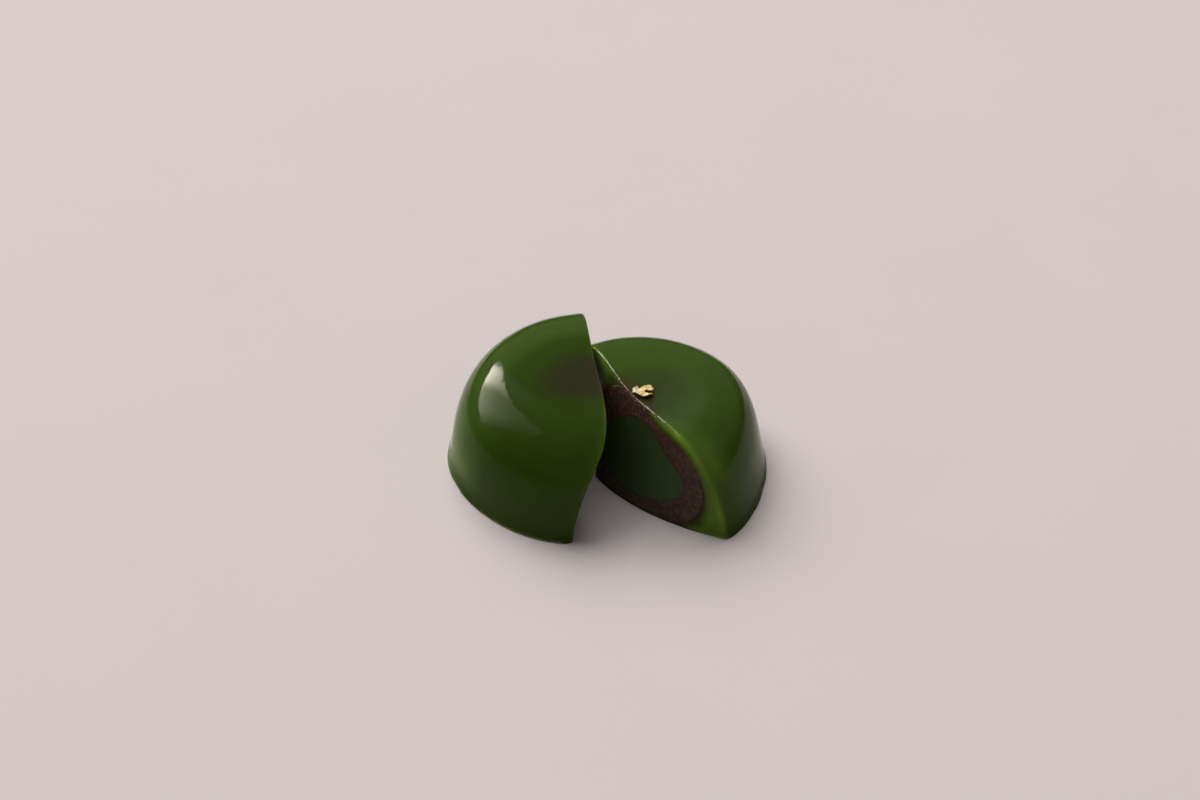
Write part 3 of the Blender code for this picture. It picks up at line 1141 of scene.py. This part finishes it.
def lay_floor(settings):
    deselect()
    bpy.ops.mesh.primitive_plane_add(size=FLOOR_SIZE, location=(0.0, 0.0, 0.0))
    floor = bpy.context.active_object
    floor.name = "floor"
    floor.data.materials.append(floor_finish(settings))
    return floor


def black_flag():
    """A low black band, seen only in reflections, that keeps the far floor out of the wet skin."""
    bpy.ops.mesh.primitive_cylinder_add(
        vertices=96,
        radius=FLAG_RADIUS,
        depth=FLAG_HEIGHT,
        end_fill_type="NOTHING",
        location=(0.0, 0.0, FLAG_HEIGHT / 2.0),
    )
    flag = bpy.context.active_object
    flag.name = "black_flag"
    finish = Finish("black cloth")
    finish.surface(Base_Color=(0.01, 0.01, 0.01), Roughness=1.0, Specular_IOR_Level=0.0)
    flag.data.materials.append(finish.material)
    flag.visible_camera = False
    flag.visible_diffuse = False
    flag.visible_shadow = False
    return flag


def softbox(name, direction, spread, power):
    """A rectangular light that faces the sweet. Its spread is its width and height from there, in degrees."""
    way = way_from(*direction)
    light = bpy.data.lights.new(name, "AREA")
    light.shape = "RECTANGLE"
    light.size, light.size_y = (
        2.0 * LIGHT_DISTANCE * math.tan(math.radians(angle / 2.0)) for angle in spread
    )
    light.energy = power
    lamp = bpy.data.objects.new(name, light)
    bpy.context.scene.collection.objects.link(lamp)
    lamp.location = way * LIGHT_DISTANCE
    lamp.rotation_euler = way.to_track_quat("Z", "Y").to_euler()
    return lamp


class Pattern:
    """How a light's strength changes over its face. Places on it run from 0 to 1, across (X) and up (Y)."""

    def __init__(self, light):
        light.use_nodes = True
        self.nodes, self.links = light.node_tree.nodes, light.node_tree.links
        self.place = self.nodes.new("ShaderNodeNewGeometry").outputs["Parametric"]
        self.split = self.nodes.new("ShaderNodeSeparateXYZ")
        self.links.new(self.place, self.split.inputs["Vector"])
        self.share = None

    def maths(self, operation, *values):
        node = self.nodes.new("ShaderNodeMath")
        node.operation = operation
        for socket, value in zip(node.inputs, values):
            if isinstance(value, float):
                socket.default_value = value
            else:
                self.links.new(value, socket)
        return node.outputs[0]

    def times(self, factor):
        self.share = factor if self.share is None else self.maths("MULTIPLY", self.share, factor)
        self.links.new(self.share, self.nodes["Emission"].inputs["Strength"])

    def step(self, value, start, end, low, high):
        """Smoothly from one strength, where the value is low, to another, where it is high."""
        ramp = self.nodes.new("ShaderNodeMapRange")
        ramp.interpolation_type = "SMOOTHSTEP"
        ramp.inputs["From Min"].default_value = low
        ramp.inputs["From Max"].default_value = high
        ramp.inputs["To Min"].default_value = start
        ramp.inputs["To Max"].default_value = end
        self.links.new(value, ramp.inputs["Value"])
        self.times(ramp.outputs["Result"])

    def fade(self, axis, start, end, low, high):
        self.step(self.split.outputs[axis], start, end, low, high)

    def hump(self, axis):
        """Strongest in the middle, nothing at both edges."""
        angle = self.maths("MULTIPLY", self.split.outputs[axis], math.pi)
        self.times(self.maths("MULTIPLY", self.maths("SINE", angle), HUMP_PEAK))

    def slant(self):
        """Cuts the light off, raggedly, above a line that rises across its face."""
        ragged = self.nodes.new("ShaderNodeTexNoise")
        ragged.inputs["Scale"].default_value = KEY_RAGGED_SCALE
        ragged.inputs["Detail"].default_value = 3.0
        self.links.new(self.place, ragged.inputs["Vector"])
        across = self.maths("SUBTRACT", self.split.outputs["X"], KEY_SLANT_START)
        line = self.maths("MULTIPLY", across, KEY_SLANT)
        below = self.maths("SUBTRACT", line, self.split.outputs["Y"])
        shift = self.maths("MULTIPLY", self.maths("SUBTRACT", ragged.outputs[0], 0.5), KEY_RAGGED)
        self.step(self.maths("ADD", below, shift), KEY_OUTSIDE, 1.0, *KEY_EDGE)


def light_room(brightness):
    world = bpy.data.worlds.new("room")
    world.use_nodes = True
    backdrop = world.node_tree.nodes["Background"]
    backdrop.inputs["Color"].default_value = (*ROOM_COLOUR, 1.0)
    backdrop.inputs["Strength"].default_value = brightness
    bpy.context.scene.world = world


def place_camera():
    camera = bpy.data.cameras.new("camera")
    camera.lens = CAMERA_LENS
    camera.sensor_width = SENSOR_WIDTH
    camera.clip_start = NEAR_LIMIT
    shot = bpy.data.objects.new("camera", camera)
    bpy.context.scene.collection.objects.link(shot)
    tilt = Matrix.Rotation(math.pi / 2.0 - CAMERA_DOWN, 4, "X") @ Matrix.Rotation(CAMERA_ROLL, 4, "Z")
    shot.matrix_world = Matrix.Translation(CAMERA_PLACE) @ tilt
    bpy.context.scene.camera = shot
    bpy.context.scene.view_settings.view_transform = "Standard"


PANEL_ROWS = (
    ("Jelly", "manju_jelly", (MANJU_OT_jelly,)),
    ("Filling", "manju_filling", (MANJU_OT_paste, MANJU_OT_core)),
    ("Gold leaf", "manju_leaf", (MANJU_OT_leaf,)),
    ("Stage", "manju_stage", (MANJU_OT_stage,)),
)


class MANJU_PT_panel(bpy.types.Panel):
    """Lists the pieces and the settings of the manju"""

    bl_idname = "MANJU_PT_panel"
    bl_label = "Matcha water manju"
    bl_space_type = "VIEW_3D"
    bl_region_type = "UI"
    bl_category = "Manju"

    def draw(self, context):
        for group, settings, operators in PANEL_ROWS:
            box = self.layout.box()
            box.label(text=group)
            owner = getattr(context.scene, settings)
            for name in owner.__annotations__:
                box.prop(owner, name)
            for operator in operators:
                box.operator(operator.bl_idname)


SETTINGS = {
    "manju_jelly": JellySettings,
    "manju_filling": FillingSettings,
    "manju_leaf": LeafSettings,
    "manju_stage": StageSettings,
}

CLASSES = (
    *SETTINGS.values(),
    MANJU_OT_jelly,
    MANJU_OT_paste,
    MANJU_OT_core,
    MANJU_OT_leaf,
    MANJU_OT_stage,
    MANJU_PT_panel,
)


def register():
    for made in CLASSES:
        bpy.utils.register_class(made)
    for name, group in SETTINGS.items():
        setattr(bpy.types.Scene, name, bpy.props.PointerProperty(type=group))


def unregister():
    for name in SETTINGS:
        delattr(bpy.types.Scene, name)
    for made in reversed(CLASSES):
        bpy.utils.unregister_class(made)


def main():
    register()
    bpy.ops.manju.stage()
    bpy.ops.manju.jelly()
    bpy.ops.manju.paste()
    bpy.ops.manju.core()
    bpy.ops.manju.leaf()


if __name__ == "__main__":
    main()
